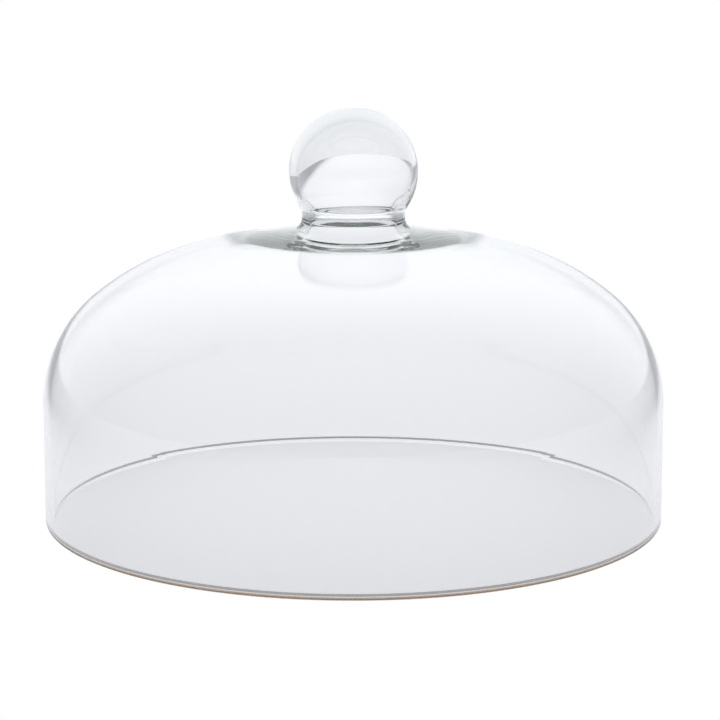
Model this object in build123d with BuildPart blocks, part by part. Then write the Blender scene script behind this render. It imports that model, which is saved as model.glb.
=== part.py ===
"""Glass cloche with a hollow ball knob.

A blown glass dome with a straight wall, a full round shoulder and a shallow crown.
A hollow blown ball knob stands on the crown and is joined to it by a fused glass
ring, so the air inside the dome reaches up through the ring into the ball.

Frame: millimetres, +Z up, origin at the centre of the rim, in the plane it rests on.
"""

from build123d import *
import os
from math import asin, cos, degrees, radians, sin, sqrt, tan

# ---- driving dimensions (mm and degrees) ----
outer_diameter = 290.0
overall_height = 194.0
wall_thickness = 3.4

straight_wall_height = 57.0
shoulder_radius = 60.0
shoulder_sweep = 51.0
haunch_radius = 120.0
haunch_sweep = 25.0

rim_round = 1.15

# inside this radius the crown runs straight up to the foot of the knob
straight_crown_radius = 59.0
# a gather of glass thickens the crown under the knob: there its underside lies flatter
gather_radius = 50.0
gather_turn = 3.4
gather_blend_radius = 50.0
seal_radius = 32.0

ball_diameter = 60.0
neck_diameter = 48.2
nape_radius = 6.0
foot_radius = 6.0

cavity_top_thickness = 5.5
cavity_cap_radius = 28.0
cavity_cap_sweep = 45.0
cavity_cheek_radius = 24.0
cavity_nape_radius = 8.0
neck_wall = 3.2
flare_radius = 8.3

# ---- worked out from them ----
outer_radius = outer_diameter / 2
inner_radius = outer_radius - wall_thickness
ball_radius = ball_diameter / 2
ball_centre_z = overall_height - ball_radius
neck_radius = neck_diameter / 2
bore_radius = neck_radius - neck_wall

# the crown's arc closes the wall, shoulder and haunch over the axis
haunch_end_slope = radians(shoulder_sweep + haunch_sweep)
haunch_centre_x = outer_radius - shoulder_radius
haunch_centre_x += (shoulder_radius - haunch_radius) * cos(radians(shoulder_sweep))
haunch_centre_z = straight_wall_height
haunch_centre_z += (shoulder_radius - haunch_radius) * sin(radians(shoulder_sweep))
crown_radius = haunch_radius + haunch_centre_x / cos(haunch_end_slope)
crown_centre_z = haunch_centre_z - (crown_radius - haunch_radius) * sin(haunch_end_slope)
crown_slope = degrees(asin(straight_crown_radius / crown_radius))
crown_sweep = 90 - shoulder_sweep - haunch_sweep - crown_slope


class StraightRun:
    """A straight stretch of a skin in section, from one point in towards the axis."""

    def __init__(self, start_x, start_z, slope):
        self.start_x = start_x
        self.start_z = start_z
        self.slope = slope

    def height_at(self, radius):
        return self.start_z + (self.start_x - radius) * tan(radians(self.slope))

    def centre_height(self, centre_radius, arc_radius):
        """Height of the centre of an arc that touches this run from above."""
        return self.height_at(centre_radius) + arc_radius / cos(radians(self.slope))


def crown_run(skin_depth):
    """The straight run of the skin that lies skin_depth below the outer one."""
    radius = crown_radius - skin_depth
    turn = radians(crown_slope)
    return StraightRun(radius * sin(turn), crown_centre_z + radius * cos(turn), crown_slope)


top_side = crown_run(0)
underside = crown_run(wall_thickness)

# where the gather's blend arc leaves the underside, and the flatter run after it
gather_slope = crown_slope - gather_turn
blend_reach = gather_blend_radius * (sin(radians(crown_slope)) - sin(radians(gather_slope)))
blend_rise = gather_blend_radius * (cos(radians(gather_slope)) - cos(radians(crown_slope)))
gather_side = StraightRun(
    gather_radius - blend_reach, underside.height_at(gather_radius) + blend_rise, gather_slope
)

# the foot's hollow arc runs out of the neck and lands smoothly on the crown
foot_centre_x = neck_radius + foot_radius
foot_centre_z = top_side.centre_height(foot_centre_x, foot_radius)

# the flare rounds the bore's lower edge into the underside of the crown
flare_centre_x = bore_radius + flare_radius
flare_centre_z = gather_side.centre_height(flare_centre_x, flare_radius)

seam_z = foot_centre_z

# ball meets the nape, the small hollow arc above the neck
nape_centre_x = neck_radius + nape_radius
nape_drop = sqrt((ball_radius + nape_radius) ** 2 - nape_centre_x**2)
nape_angle = degrees(asin(nape_drop / (ball_radius + nape_radius)))

# the cavity's cheek meets its own nape in the same way
cavity_top_z = overall_height - cavity_top_thickness
cap_turn = radians(cavity_cap_sweep)
cheek_centre_x = (cavity_cap_radius - cavity_cheek_radius) * sin(cap_turn)
cheek_centre_z = cavity_top_z - cavity_cap_radius * (1 - cos(cap_turn))
cheek_centre_z -= cavity_cheek_radius * cos(cap_turn)
cavity_nape_x = bore_radius + cavity_nape_radius
cavity_reach = cavity_cheek_radius + cavity_nape_radius
cavity_drop = sqrt(cavity_reach**2 - (cavity_nape_x - cheek_centre_x) ** 2)
cavity_nape_angle = degrees(asin(cavity_drop / cavity_reach))


def skin(depth):
    """One skin of the dome in section, from the rim to where the crown turns straight."""
    with BuildLine() as line:
        foot_point = (outer_radius - depth, rim_round)
        wall = Line(foot_point, (outer_radius - depth, straight_wall_height))
        shoulder = JernArc(wall @ 1, wall % 1, shoulder_radius - depth, shoulder_sweep)
        haunch = JernArc(shoulder @ 1, shoulder % 1, haunch_radius - depth, haunch_sweep)
        JernArc(haunch @ 1, haunch % 1, crown_radius - depth, crown_sweep)
    return line.line


# ---- bell: the blown dome, open at the rim and at the seal ----
outer_skin = skin(0)
inner_skin = skin(wall_thickness)

with BuildPart() as bell:
    with BuildSketch(Plane.XZ):
        with BuildLine():
            add(outer_skin)
            add(inner_skin)
            land = Line((inner_radius + rim_round, 0), (outer_radius - rim_round, 0))
            JernArc(land @ 1, (1, 0), rim_round, 90)
            JernArc(land @ 0, (-1, 0), rim_round, -90)
            outer_run = Line(outer_skin @ 1, (seal_radius, top_side.height_at(seal_radius)))
            gather_start = (gather_radius, underside.height_at(gather_radius))
            inner_run = Line(inner_skin @ 1, gather_start)
            blend = JernArc(inner_run @ 1, inner_run % 1, gather_blend_radius, gather_turn)
            gather_run = Line(blend @ 1, (seal_radius, gather_side.height_at(seal_radius)))
            Line(outer_run @ 1, gather_run @ 1)
        make_face()
    revolve(axis=Axis.Z)

# ---- seal_ring: the fused glass ring between the crown and the neck ----
with BuildPart() as seal_ring:
    with BuildSketch(Plane.XZ):
        with BuildLine():
            neck_face = Line((bore_radius, seam_z), (neck_radius, seam_z))
            foot = JernArc(neck_face @ 1, (0, -1), foot_radius, 90 - crown_slope)
            outer_run = Line(foot @ 1, (seal_radius, top_side.height_at(seal_radius)))
            bore = Line(neck_face @ 0, (bore_radius, flare_centre_z))
            flare = JernArc(bore @ 1, (0, -1), flare_radius, 90 - gather_slope)
            under = Line(flare @ 1, (seal_radius, gather_side.height_at(seal_radius)))
            Line(outer_run @ 1, under @ 1)
        make_face()
    revolve(axis=Axis.Z)

# ---- knob: the hollow ball and its neck ----
with BuildPart() as knob:
    with BuildSketch(Plane.XZ):
        with BuildLine():
            ball = CenterArc((0, ball_centre_z), ball_radius, 90, -90 - nape_angle)
            nape = JernArc(ball @ 1, ball % 1, nape_radius, nape_angle)
            neck = Line(nape @ 1, (neck_radius, seam_z))
            cap = JernArc((0, cavity_top_z), (1, 0), cavity_cap_radius, -cavity_cap_sweep)
            cheek = JernArc(
                cap @ 1, cap % 1, cavity_cheek_radius, cavity_cap_sweep - 90 - cavity_nape_angle
            )
            cavity_nape = JernArc(cheek @ 1, cheek % 1, cavity_nape_radius, cavity_nape_angle)
            bore = Line(cavity_nape @ 1, (bore_radius, seam_z))
            Line(neck @ 1, bore @ 1)
            Line(ball @ 0, cap @ 0)
        make_face()
    revolve(axis=Axis.Z)

bell.part.label = "bell"
seal_ring.part.label = "seal_ring"
knob.part.label = "knob"

os.makedirs("parts", exist_ok=True)
export_step(bell.part, "parts/bell.step")
export_step(seal_ring.part, "parts/seal_ring.step")
export_step(knob.part, "parts/knob.step")

seal_glass = top_side.height_at(seal_radius) - gather_side.height_at(seal_radius)
print(f"crown slope {crown_slope:.2f} degrees, glass at the seal {seal_glass:.2f}")
print(f"seam z {seam_z:.2f}, flare starts at z {flare_centre_z:.2f}")
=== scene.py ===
"""Glass cloche with a hollow ball knob: its blown glass, and the studio around it.

The dome, the fused ring and the knob are closed glass bodies turned from their own
sections. The inside skins are then worked by hand, as the glass maker's tools leave
them: a gather of glass sits off centre under the knob, and the ball's hollow leans.
"""

import math

import bpy
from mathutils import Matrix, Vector


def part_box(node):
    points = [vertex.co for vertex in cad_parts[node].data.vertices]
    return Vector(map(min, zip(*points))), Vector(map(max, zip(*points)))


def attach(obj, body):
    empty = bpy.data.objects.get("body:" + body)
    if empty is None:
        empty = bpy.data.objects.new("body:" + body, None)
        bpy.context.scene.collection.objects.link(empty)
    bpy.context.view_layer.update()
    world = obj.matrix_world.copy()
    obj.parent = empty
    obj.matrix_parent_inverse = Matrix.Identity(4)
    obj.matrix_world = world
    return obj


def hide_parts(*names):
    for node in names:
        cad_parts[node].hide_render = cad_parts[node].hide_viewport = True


bl_info = {
    "name": "Glass Cloche",
    "version": (1, 0, 0),
    "blender": (4, 5, 0),
    "location": "3D Viewport > Sidebar > Cloche",
    "description": "Builds a blown glass cloche with a hollow ball knob, and its studio",
    "category": "Object",
}

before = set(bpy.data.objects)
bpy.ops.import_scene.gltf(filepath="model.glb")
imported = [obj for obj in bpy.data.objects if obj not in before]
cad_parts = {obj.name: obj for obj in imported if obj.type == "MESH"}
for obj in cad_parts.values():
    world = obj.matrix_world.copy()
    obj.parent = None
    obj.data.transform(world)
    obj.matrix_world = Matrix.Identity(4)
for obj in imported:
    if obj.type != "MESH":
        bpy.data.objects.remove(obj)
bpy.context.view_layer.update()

MM = 0.001
ALL_ROUND = 2 * math.pi

# the sizes that the packed model settles
OUTER_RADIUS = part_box("bell")[1].x
BALL_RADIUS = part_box("knob")[1].x
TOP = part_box("knob")[1].z
SEAM_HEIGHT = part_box("seal_ring")[1].z
SEAL_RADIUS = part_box("seal_ring")[1].x

# neighbours stand this far apart, so that their seam faces never coincide
SEAM_GAP = 0.01 * MM
WELD_DISTANCE = 0.001 * MM

QUARTER = math.pi / 2
AROUND = 360
SMOOTH_ANGLE = math.radians(40)

# the maker's hand reaches no lower than this, and no further up the bore
HANDWORK_FOOT = 80 * MM
HANDWORK_TOP = SEAM_HEIGHT + 2 * MM
# a soft ramp is taken as straight beyond this many softnesses
RAMP_IS_STRAIGHT = 30
# the ball's hollow starts to move aside at the nape and is fully aside by here
HOLLOW_START = 145 * MM
HOLLOW_END = 172 * MM

FLOOR_SIZE = 6.0
FLOOR_GAP = 0.1 * MM
LIGHT_BOUNCES = 32

CAMERA_PLACE = (0.0030524, -1.56198, 0.421332)
CAMERA_TILT = math.radians(90 - 12.51486)
CAMERA_LENS = 170.767
SENSOR_WIDTH = 36


def length(name, description, millimetres):
    """A size that the sidebar shows in the scene's units."""
    return bpy.props.FloatProperty(
        name=name, description=description, default=millimetres * MM, unit="LENGTH"
    )


def angle(name, description, degrees):
    """An angle that the sidebar shows in the scene's units."""
    return bpy.props.FloatProperty(
        name=name, description=description, default=math.radians(degrees), unit="ROTATION"
    )


def colour(name, description, default):
    """A colour with a picker in the sidebar."""
    return bpy.props.FloatVectorProperty(
        name=name, description=description, default=default, subtype="COLOR", min=0, soft_max=1
    )


def amount(name, description, default):
    """A plain number."""
    return bpy.props.FloatProperty(name=name, description=description, default=default)


class ClocheDomeSizes(bpy.types.PropertyGroup):
    """The dome's section."""

    wall: length("Wall", "Thickness of the dome's glass", 3.4)
    wall_height: length("Straight wall", "Height of the upright wall above the rim", 57)
    shoulder_radius: length("Shoulder radius", "Outer radius of the round shoulder", 60)
    shoulder_sweep: angle("Shoulder sweep", "How far the shoulder turns", 51)
    haunch_radius: length("Haunch radius", "Outer radius above the shoulder", 120)
    haunch_sweep: angle("Haunch sweep", "How far the haunch turns", 25)
    rim_round: length("Rim round", "Rounding of the fire-polished rim", 1.15)
    straight_crown: length("Straight crown", "Radius inside which the crown runs straight", 59)


class ClocheKnobSizes(bpy.types.PropertyGroup):
    """The knob's and the fused ring's sections."""

    neck_radius: length("Neck radius", "Outer radius of the knob's neck", 24.1)
    neck_wall: length("Neck wall", "Thickness of the neck's glass", 3.2)
    nape_radius: length("Nape radius", "Hollow curve between the ball and the neck", 6)
    foot_radius: length("Foot radius", "Hollow curve between the neck and the crown", 6)
    flare_radius: length("Flare radius", "Rounding of the bore into the crown's underside", 8)
    top_glass: length("Top glass", "Thickness of the glass on top of the ball", 5.5)
    cap_radius: length("Cavity cap", "Radius of the top of the ball's hollow", 28)
    cap_sweep: angle("Cavity cap sweep", "How far the cap reaches from the axis", 45)
    cheek_radius: length("Cavity cheek", "Radius of the sides of the ball's hollow", 24)
    cavity_nape: length("Cavity nape", "Curve between the ball's hollow and the bore", 8)


class ClocheHandwork(bpy.types.PropertyGroup):
    """What the maker's hand leaves on the inside skins."""

    gather_radius: length("Gather radius", "Radius of the gather under the knob", 50)
    gather_offset: length("Gather offset", "How far the gather sits back of the axis", 9)
    gather_taper: angle("Gather taper", "How fast the gather thickens inwards", 3.4)
    gather_edge: length("Gather edge", "Softness of the gather's edge", 0.7)
    lean_start: length("Lean start", "Depth at which the underside starts to lean", -10)
    lean_softness: length("Lean softness", "How gently the lean starts", 4)
    lean: angle("Lean", "How far the underside leans down towards the back", 0.9)
    lean_half_width: length("Lean half width", "Half the width that leans in full", 48)
    lean_side_fade: length("Lean side fade", "Width over which the lean dies out", 14)
    lean_reach: length("Lean reach", "Depth to which the underside leans in full", 60)
    lean_end_fade: length("Lean end fade", "Depth over which the lean dies out", 50)
    hollow_offset: length("Hollow offset", "How far the ball's hollow sits to the side", 0.9)


class ClocheGlassLook(bpy.types.PropertyGroup):
    """The clear glass."""

    ior: amount("IOR", "Refractive index of the glass", 1.5)
    tint: colour("Tint", "Colour that the glass lets through", (0.84, 0.855, 0.84))
    density: amount("Density", "How fast the glass absorbs, per metre", 42)
    # painted shade: a dark line coloured round the rim, in place of the dark room seen refracted
    # through the rim's rounding
    rim_shade_colour: colour("Rim shade line", "Painted shade: a dark line round the rim", (0.22, 0.2, 0.19))
    rim_shade_height: length("Shade height", "Height of that line above the rim", 2.4)
    edge_width: length("Shade width", "Half the width of that line", 0.45)
    # painted reflection: a brown line coloured low on the rim, on the front half only, in place of
    # a dark brown surround reflected in the rim
    rim_reflection_colour: colour("Rim reflection line", "Painted reflection: a brown line along the front of the rim", (0.3, 0.2, 0.13))
    rim_reflection_height: length("Reflection height", "Height of that line above the rim", 0.8)
    rim_reflection_width: length("Reflection width", "Half the width of that line", 0.5)
    rim_reflection_back: length("Reflection back", "Depth beyond which that line is gone", 40)
    rim_reflection_front: length("Reflection front", "Depth from which that line is whole", -20)


class ClocheStudioLook(bpy.types.PropertyGroup):
    """The floor and the light."""

    floor_colour: colour("Floor", "Colour of the pale floor", (0.76, 0.765, 0.785))
    floor_glow: colour("Floor glow", "Light that the floor gives off", (0.965, 0.975, 1.015))
    glow_strength: amount("Glow strength", "Strength of the floor's light", 0.61)
    sky: colour("Surround", "Colour of the soft light all round", (0.97, 0.985, 1.02))
    dark_side: amount("Dark side", "Light from the front and above", 0.08)
    back_light: amount("Back light", "Light from low down at the back", 1.02)
    fade_start: amount("Fade start", "Backward lean at which the light starts to rise", 0.08)
    fade_end: amount("Fade end", "Backward lean at which the light is full", 0.95)
    pool_half_width: length("Pool half width", "Half the width of floor lit in full", 200)
    pool_fade: length("Pool fade", "Width over which the pool of light fades", 160)
    pool_rest: amount("Pool rest", "Share of the glow left beyond the pool", 0.35)
    far_start: length("Far start", "Depth at which the floor starts to brighten", -200)
    far_end: length("Far end", "Depth at which the floor is brightest", 900)
    far_lift: amount("Far lift", "Brightness of the far floor against the near floor", 1.38)


SIZE_GROUPS = {
    "cloche_dome": ClocheDomeSizes,
    "cloche_knob": ClocheKnobSizes,
    "cloche_handwork": ClocheHandwork,
    "cloche_glass": ClocheGlassLook,
    "cloche_studio": ClocheStudioLook,
}


class SectionPen:
    """Draws a section in the XZ plane by drawing one vertex out, stretch after stretch.

    A heading of 0 points outwards and a quarter turn points up, in radians. The pen
    sets out outwards, and a line leaves its heading as it was. The vertices drawn
    after inside() are in the vertex group of that name.
    """

    def __init__(self, name, radius, height):
        bpy.ops.object.select_all(action="DESELECT")
        bpy.ops.mesh.primitive_circle_add(vertices=3, radius=MM)
        self.piece = bpy.context.object
        self.piece.name = name
        self.piece.data.name = name
        self.piece.vertex_groups.new(name="inside")
        bpy.ops.object.mode_set(mode="EDIT")
        bpy.ops.mesh.select_all(action="SELECT")
        bpy.ops.mesh.merge(type="CENTER")
        bpy.ops.transform.translate(value=(radius, 0, height))
        self.radius = radius
        self.height = height
        self.heading = 0

    def line_to(self, radius, height, steps=1):
        """Draws a straight stretch to a point."""
        stride = ((radius - self.radius) / steps, 0, (height - self.height) / steps)
        for _ in range(steps):
            bpy.ops.mesh.extrude_region_move(TRANSFORM_OT_translate={"value": stride})
        self.radius = radius
        self.height = height

    def bend(self, bend_radius, sweep, steps):
        """Curves on from the heading, to the left for a positive sweep."""
        side = math.copysign(bend_radius, sweep)
        centre_x = self.radius - side * math.sin(self.heading)
        centre_z = self.height + side * math.cos(self.heading)
        bpy.ops.mesh.spin(
            steps=steps, angle=sweep, center=(centre_x, 0, centre_z), axis=(0, 1, 0)
        )
        self.heading += sweep
        self.radius = centre_x + side * math.sin(self.heading)
        self.height = centre_z - side * math.cos(self.heading)

    def inside(self):
        """What is drawn from here on is the inside skin."""
        bpy.ops.object.vertex_group_assign()

    def turned(self):
        """Turns the section round the axis into a closed body."""
        bpy.ops.mesh.select_all(action="SELECT")
        bpy.ops.mesh.remove_doubles(threshold=WELD_DISTANCE)
        bpy.ops.mesh.spin(steps=AROUND, angle=ALL_ROUND, center=(0, 0, 0), axis=(0, 0, 1))
        bpy.ops.mesh.select_all(action="SELECT")
        bpy.ops.mesh.remove_doubles(threshold=WELD_DISTANCE)
        bpy.ops.mesh.normals_make_consistent(inside=False)
        bpy.ops.object.mode_set(mode="OBJECT")
        return self.piece


class CrownRun:
    """The straight, slightly conical stretch of a skin of the crown."""

    def __init__(self, dome, skin_depth):
        # the crown's arc closes the wall, shoulder and haunch over the axis
        turned = dome.shoulder_sweep + dome.haunch_sweep
        step_in = dome.shoulder_radius - dome.haunch_radius
        haunch_x = OUTER_RADIUS - dome.shoulder_radius + step_in * math.cos(dome.shoulder_sweep)
        haunch_z = dome.wall_height + step_in * math.sin(dome.shoulder_sweep)
        self.crown_radius = dome.haunch_radius + haunch_x / math.cos(turned)
        self.slope = math.asin(dome.straight_crown / self.crown_radius)
        self.arc_sweep = QUARTER - turned - self.slope
        centre_z = haunch_z - (self.crown_radius - dome.haunch_radius) * math.sin(turned)
        skin_radius = self.crown_radius - skin_depth
        self.start_x = skin_radius * math.sin(self.slope)
        self.start_z = centre_z + skin_radius * math.cos(self.slope)

    def height_at(self, radius):
        """Height of the run at a radius."""
        return self.start_z + (self.start_x - radius) * math.tan(self.slope)

    def arc_centre(self, centre_radius, arc_radius):
        """Height of the centre of an arc that touches the run from above."""
        return self.height_at(centre_radius) + arc_radius / math.cos(self.slope)


def soft_ramp(distance, softness):
    """Zero below zero and the distance above it, with a soft start."""
    turns = distance / softness
    return distance if turns > RAMP_IS_STRAIGHT else softness * math.log1p(math.exp(turns))


def smooth_step(value, start, end):
    """Rises smoothly from 0 at the start to 1 at the end."""
    portion = min(1, max(0, (value - start) / (end - start)))
    return portion * portion * (3 - 2 * portion)


def work_inside(piece, move):
    """Moves each vertex of the inside skin by what move says for its place."""
    for vertex in piece.data.vertices:
        if vertex.groups:
            vertex.co += move(vertex.co)


def add_gather(piece, scene):
    """Thickens the crown from below, off centre, with an underside that leans."""
    hand = scene.cloche_handwork
    knob = scene.cloche_knob
    bore_foot = CrownRun(scene.cloche_dome, scene.cloche_dome.wall).arc_centre(
        knob.neck_radius - knob.neck_wall + knob.flare_radius, knob.flare_radius
    )
    lean_side_end = hand.lean_half_width + hand.lean_side_fade
    lean_end = hand.lean_reach + hand.lean_end_fade

    def move(place):
        if place.z < HANDWORK_FOOT or place.z > HANDWORK_TOP:
            return Vector()
        depth = math.hypot(place.x, place.y - hand.gather_offset)
        drop = math.tan(hand.gather_taper) * soft_ramp(
            hand.gather_radius - depth, hand.gather_edge
        )
        share = 1 - smooth_step(abs(place.x), hand.lean_half_width, lean_side_end)
        share *= 1 - smooth_step(abs(place.y), hand.lean_reach, lean_end)
        drop += share * math.tan(hand.lean) * soft_ramp(
            place.y - hand.lean_start, hand.lean_softness
        )
        drop *= 1 - smooth_step(place.z, bore_foot, HANDWORK_TOP)
        return Vector((0, 0, -drop))

    work_inside(piece, move)


def mark_seams(piece, is_seam):
    """Flags the faces that touch a neighbour, where the glass runs on unbroken."""
    seam = piece.data.attributes.new("seam", "FLOAT", "FACE")
    for face in piece.data.polygons:
        seam.data[face.index].value = float(is_seam(face))


def smooth(piece):
    """Shades the skins smoothly and keeps the seam faces' edges sharp."""
    bpy.ops.object.select_all(action="DESELECT")
    piece.select_set(True)
    bpy.context.view_layer.objects.active = piece
    bpy.ops.object.shade_smooth_by_angle(angle=SMOOTH_ANGLE)


def dome_body(scene):
    """The dome: down the outer skin, round the rim and up the inside."""
    dome = scene.cloche_dome
    top_side = CrownRun(dome, 0)
    underside = CrownRun(dome, dome.wall)
    inner_radius = OUTER_RADIUS - dome.wall

    pen = SectionPen("dome", SEAL_RADIUS, top_side.height_at(SEAL_RADIUS))
    pen.line_to(top_side.start_x, top_side.start_z, 12)
    pen.heading = -top_side.slope
    pen.bend(top_side.crown_radius, -top_side.arc_sweep, 8)
    pen.bend(dome.haunch_radius, -dome.haunch_sweep, 16)
    pen.bend(dome.shoulder_radius, -dome.shoulder_sweep, 26)
    pen.line_to(OUTER_RADIUS, dome.rim_round, 8)
    pen.bend(dome.rim_round, -QUARTER, 8)
    pen.line_to(inner_radius + dome.rim_round, 0)
    pen.bend(dome.rim_round, -QUARTER, 8)
    pen.inside()
    pen.line_to(inner_radius, dome.wall_height, 8)
    pen.bend(dome.shoulder_radius - dome.wall, dome.shoulder_sweep, 26)
    pen.bend(dome.haunch_radius - dome.wall, dome.haunch_sweep, 16)
    pen.bend(top_side.crown_radius - dome.wall, top_side.arc_sweep, 8)
    pen.line_to(SEAL_RADIUS, underside.height_at(SEAL_RADIUS), 64)
    pen.line_to(SEAL_RADIUS, top_side.height_at(SEAL_RADIUS))
    piece = pen.turned()
    add_gather(piece, scene)
    mark_seams(piece, lambda face: face.center.xy.length < SEAL_RADIUS + SEAM_GAP)
    return piece


def ring_body(scene):
    """The ring: in along the crown, up the foot, down the bore and out along the flare."""
    dome = scene.cloche_dome
    knob = scene.cloche_knob
    top_side = CrownRun(dome, 0)
    underside = CrownRun(dome, dome.wall)
    outer_edge = SEAL_RADIUS - SEAM_GAP
    bore = knob.neck_radius - knob.neck_wall
    foot_x = knob.neck_radius + knob.foot_radius
    flare_x = bore + knob.flare_radius
    arc_turn = QUARTER - top_side.slope
    foot_landing = foot_x - knob.foot_radius * math.sin(top_side.slope)

    pen = SectionPen("fused_ring", outer_edge, top_side.height_at(outer_edge))
    pen.line_to(foot_landing, top_side.height_at(foot_landing), 4)
    pen.heading = math.pi - top_side.slope
    pen.bend(knob.foot_radius, -arc_turn, 32)
    pen.line_to(bore, pen.height)
    pen.inside()
    pen.line_to(bore, underside.arc_centre(flare_x, knob.flare_radius), 3)
    pen.heading = -QUARTER
    pen.bend(knob.flare_radius, arc_turn, 36)
    pen.line_to(outer_edge, underside.height_at(outer_edge), 10)
    pen.line_to(outer_edge, top_side.height_at(outer_edge))
    piece = pen.turned()
    add_gather(piece, scene)

    def is_seam(face):
        lies_flat = abs(face.normal.z) > 0.5
        at_neck = lies_flat and face.center.z > SEAM_HEIGHT - SEAM_GAP
        return at_neck or face.center.xy.length > outer_edge - SEAM_GAP

    mark_seams(piece, is_seam)
    return piece


def knob_body(scene):
    """The knob: from the top of the ball down its outside, then up through its hollow."""
    knob = scene.cloche_knob
    hand = scene.cloche_handwork
    bore = knob.neck_radius - knob.neck_wall
    bottom = SEAM_HEIGHT + SEAM_GAP

    # the ball meets the nape, the hollow curve above the neck
    nape_reach = BALL_RADIUS + knob.nape_radius
    nape_turn = math.acos((knob.neck_radius + knob.nape_radius) / nape_reach)

    # the hollow's cheek meets its own nape in the same way
    cheek_gap = knob.cap_radius - knob.cheek_radius
    cheek_x = cheek_gap * math.sin(knob.cap_sweep)
    cheek_z = TOP - knob.top_glass - knob.cap_radius + cheek_gap * math.cos(knob.cap_sweep)
    hollow_reach = knob.cheek_radius + knob.cavity_nape
    hollow_turn = math.acos((bore + knob.cavity_nape - cheek_x) / hollow_reach)

    pen = SectionPen("knob_ball", 0, TOP)
    pen.bend(BALL_RADIUS, -QUARTER - nape_turn, 56)
    pen.bend(knob.nape_radius, nape_turn, 16)
    pen.line_to(knob.neck_radius, bottom, 4)
    pen.line_to(bore, bottom)
    pen.inside()
    pen.line_to(bore, cheek_z - hollow_reach * math.sin(hollow_turn), 4)
    pen.heading = QUARTER
    pen.bend(knob.cavity_nape, -hollow_turn, 12)
    pen.bend(knob.cheek_radius, hollow_turn + QUARTER - knob.cap_sweep, 32)
    pen.bend(knob.cap_radius, knob.cap_sweep, 24)
    piece = pen.turned()
    add_gather(piece, scene)

    def aside(place):
        share = smooth_step(place.z, HOLLOW_START, HOLLOW_END)
        return Vector((hand.hollow_offset * share, 0, 0))

    work_inside(piece, aside)
    mark_seams(piece, lambda face: face.center.z < bottom + SEAM_GAP and face.normal.z < -0.5)
    return piece


# where nodes keep the sockets that share a name with others
OBJECT_OUTPUT = 3
FACTOR_OUTPUT = 2
COLOUR_OUTPUT = 2
COLOUR_INPUTS = (6, 7)


class Wire:
    """A node's output that takes part in arithmetic; each operation adds a Math node."""

    def __init__(self, board, socket):
        self.board = board
        self.socket = socket

    def _maths(self, operation, first, second):
        return self.board.node("ShaderNodeMath", {"operation": operation}, {0: first, 1: second})

    def __mul__(self, other):
        return self._maths("MULTIPLY", self, other)

    __rmul__ = __mul__

    def __sub__(self, other):
        return self._maths("SUBTRACT", self, other)

    def __rsub__(self, other):
        return self._maths("SUBTRACT", other, self)

    def __abs__(self):
        return self._maths("ABSOLUTE", self, 0)


class NodeBoard:
    """A node tree, cleared, with one method that adds nodes to it."""

    def __init__(self, owner):
        owner.use_nodes = True
        self.tree = owner.node_tree
        self.tree.nodes.clear()

    def node(self, kind, settings=None, sockets=None, output=0):
        made = self.tree.nodes.new(kind)
        for name, value in (settings or {}).items():
            setattr(made, name, value)
        for key, value in (sockets or {}).items():
            if isinstance(value, Wire):
                self.tree.links.new(value.socket, made.inputs[key])
            else:
                made.inputs[key].default_value = value
        return Wire(self, made.outputs[output]) if made.outputs else None

    def blend(self, share, first, second):
        """The first colour where share is 0 and the second where it is 1."""
        sides = {"Factor": share}
        for socket, side in zip(COLOUR_INPUTS, (first, second)):
            sides[socket] = side if isinstance(side, Wire) else (*side, 1)
        return self.node("ShaderNodeMix", {"data_type": "RGBA"}, sides, output=COLOUR_OUTPUT)

    def ease(self, value, start, end, first=0.0, last=1.0):
        """Goes smoothly from the first amount at the start to the last at the end."""
        return self.node(
            "ShaderNodeMapRange",
            {"interpolation_type": "SMOOTHSTEP"},
            {
                "Value": value,
                "From Min": start,
                "From Max": end,
                "To Min": first,
                "To Max": last,
            },
        )

    def band(self, value, centre, half_width):
        """1 within half the half width of the centre, and 0 beyond the half width."""
        return self.ease(abs(value - centre), 0.5 * half_width, half_width, 1.0, 0.0)

    def place(self, axis):
        """How far the surface lies along an axis of its object."""
        where = self.node("ShaderNodeTexCoord", output=OBJECT_OUTPUT)
        return self.node("ShaderNodeSeparateXYZ", {}, {0: where}, output="XYZ".index(axis))


def glass_material(name, look):
    """Clear glass, tinted by its thickness; a seam face lets everything straight through."""
    material = bpy.data.materials.new(name)
    board = NodeBoard(material)
    seam = board.node("ShaderNodeAttribute", {"attribute_name": "seam"}, output=FACTOR_OUTPUT)
    height = board.place("Z")
    front = board.ease(board.place("Y"), look.rim_reflection_back, look.rim_reflection_front)
    # painted shade: the mask of the dark line round the rim, at a set height
    edge = board.band(height, look.rim_shade_height, look.edge_width)
    # painted reflection: the mask of the brown line low on the rim, faded out towards the back
    rim_reflection = board.band(height, look.rim_reflection_height, look.rim_reflection_width) * front
    body = board.blend(edge, (1, 1, 1), look.rim_shade_colour)
    body = board.blend(rim_reflection, body, look.rim_reflection_colour)
    surface = board.node(
        "ShaderNodeBsdfPrincipled",
        {},
        {
            "Base Color": body,
            "Roughness": 0.0,
            "IOR": look.ior,
            "Transmission Weight": 1.0,
            "Alpha": 1 - seam,
        },
    )
    volume = board.node(
        "ShaderNodeVolumeAbsorption", {}, {"Color": (*look.tint, 1), "Density": look.density}
    )
    board.node("ShaderNodeOutputMaterial", {}, {"Surface": surface, "Volume": volume})
    return material


def hand_over(piece, node, slot, look):
    """Puts the glass on a finished piece and lets it stand for its packed node."""
    smooth(piece)
    piece.data.materials.append(glass_material(slot, look))
    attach(piece, "root")
    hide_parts(node)


class ClocheMakeDome(bpy.types.Operator):
    """Makes the blown dome with its fire-polished rim"""

    bl_idname = "cloche.make_dome"
    bl_label = "Make Dome"

    def execute(self, context):
        piece = dome_body(context.scene)
        hand_over(piece, "bell", "dome_glass", context.scene.cloche_glass)
        return {"FINISHED"}


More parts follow.
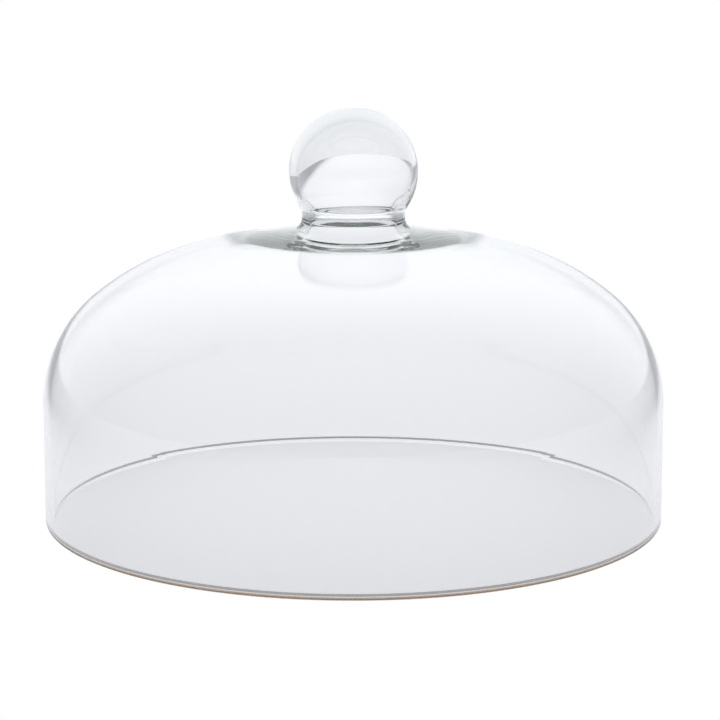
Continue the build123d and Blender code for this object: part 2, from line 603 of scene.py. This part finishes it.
class ClocheMakeRing(bpy.types.Operator):
    """Makes the fused glass ring between the crown and the neck"""

    bl_idname = "cloche.make_ring"
    bl_label = "Make Fused Ring"

    def execute(self, context):
        piece = ring_body(context.scene)
        hand_over(piece, "seal_ring", "seal_glass", context.scene.cloche_glass)
        return {"FINISHED"}


class ClocheMakeKnob(bpy.types.Operator):
    """Makes the hollow ball knob and its neck"""

    bl_idname = "cloche.make_knob"
    bl_label = "Make Knob"

    def execute(self, context):
        piece = knob_body(context.scene)
        hand_over(piece, "knob", "knob_glass", context.scene.cloche_glass)
        return {"FINISHED"}


class ClocheMakeStage(bpy.types.Operator):
    """Sets up the pale floor, the soft light all round and the camera"""

    bl_idname = "cloche.make_stage"
    bl_label = "Make Stage"

    def execute(self, context):
        make_floor(context.scene.cloche_studio)
        make_light(context.scene, context.scene.cloche_studio)
        make_camera(context.scene)
        return {"FINISHED"}


def make_floor(studio):
    """A pale floor that reads plain white where nothing stands in front of it."""
    bpy.ops.object.select_all(action="DESELECT")
    bpy.ops.mesh.primitive_plane_add(size=FLOOR_SIZE, location=(0, 0, -FLOOR_GAP))
    floor = bpy.context.object
    floor.name = "floor"
    material = bpy.data.materials.new("pale_floor")
    board = NodeBoard(material)
    pool_end = studio.pool_half_width + studio.pool_fade
    beyond = board.ease(abs(board.place("X")), studio.pool_half_width, pool_end)
    far = board.ease(board.place("Y"), studio.far_start, studio.far_end)
    lifted = tuple(studio.far_lift * part for part in studio.floor_glow)
    dim = tuple(studio.pool_rest * part for part in studio.floor_glow)
    glow = board.blend(beyond, board.blend(far, studio.floor_glow, lifted), dim)
    pale = board.node(
        "ShaderNodeBsdfPrincipled",
        {},
        {
            "Base Color": (*studio.floor_colour, 1),
            "Roughness": 0.5,
            "Specular IOR Level": 0.2,
            "Emission Color": glow,
            "Emission Strength": studio.glow_strength,
        },
    )
    white = board.node("ShaderNodeEmission", {}, {"Color": (1, 1, 1, 1), "Strength": 1.0})
    seen = board.node("ShaderNodeLightPath")
    surface = board.node("ShaderNodeMixShader", {}, {0: seen, 1: pale, 2: white})
    board.node("ShaderNodeOutputMaterial", {}, {"Surface": surface})
    floor.data.materials.append(material)


def make_light(scene, studio):
    """Soft light from the back, with a dim room above and in front."""
    world = bpy.data.worlds.new("soft_surround")
    scene.world = world
    board = NodeBoard(world)
    direction = board.node("ShaderNodeTexCoord")
    backwards = board.node("ShaderNodeSeparateXYZ", {}, {0: direction}, output=1)
    strength = board.ease(
        backwards, studio.fade_start, studio.fade_end, studio.dark_side, studio.back_light
    )
    lit = board.node("ShaderNodeBackground", {}, {"Color": (*studio.sky, 1), "Strength": strength})
    plain = board.node("ShaderNodeBackground", {}, {"Color": (1, 1, 1, 1), "Strength": 1.0})
    seen = board.node("ShaderNodeLightPath")
    mixed = board.node("ShaderNodeMixShader", {}, {0: seen, 1: lit, 2: plain})
    board.node("ShaderNodeOutputWorld", {}, {"Surface": mixed})
    scene.view_settings.view_transform = "Standard"
    scene.cycles.max_bounces = LIGHT_BOUNCES
    scene.cycles.transmission_bounces = LIGHT_BOUNCES
    scene.cycles.glossy_bounces = LIGHT_BOUNCES
    scene.cycles.transparent_max_bounces = LIGHT_BOUNCES


def make_camera(scene):
    """Stands the camera in front and above, looking down at the cloche."""
    bpy.ops.object.camera_add(location=CAMERA_PLACE, rotation=(CAMERA_TILT, 0, 0))
    camera = bpy.context.object
    camera.data.lens = CAMERA_LENS
    camera.data.sensor_width = SENSOR_WIDTH
    scene.camera = camera


class ClochePanel(bpy.types.Panel):
    """Lists the cloche's pieces and sizes"""

    bl_idname = "VIEW3D_PT_cloche"
    bl_label = "Glass Cloche"
    bl_space_type = "VIEW_3D"
    bl_region_type = "UI"
    bl_category = "Cloche"

    def draw(self, context):
        for operator in MAKERS:
            self.layout.operator(operator.bl_idname)
        for name, group in SIZE_GROUPS.items():
            box = self.layout.box()
            box.label(text=group.__doc__.rstrip("."))
            for setting in group.__annotations__:
                box.prop(getattr(context.scene, name), setting)


MAKERS = (ClocheMakeDome, ClocheMakeRing, ClocheMakeKnob, ClocheMakeStage)
CLASSES = (*SIZE_GROUPS.values(), *MAKERS, ClochePanel)


def register():
    for made in CLASSES:
        bpy.utils.register_class(made)
    for name, group in SIZE_GROUPS.items():
        setattr(bpy.types.Scene, name, bpy.props.PointerProperty(type=group))


def unregister():
    for name in SIZE_GROUPS:
        delattr(bpy.types.Scene, name)
    for made in reversed(CLASSES):
        bpy.utils.unregister_class(made)


def main():
    register()
    bpy.ops.cloche.make_dome()
    bpy.ops.cloche.make_ring()
    bpy.ops.cloche.make_knob()
    bpy.ops.cloche.make_stage()


if __name__ == "__main__":
    main()
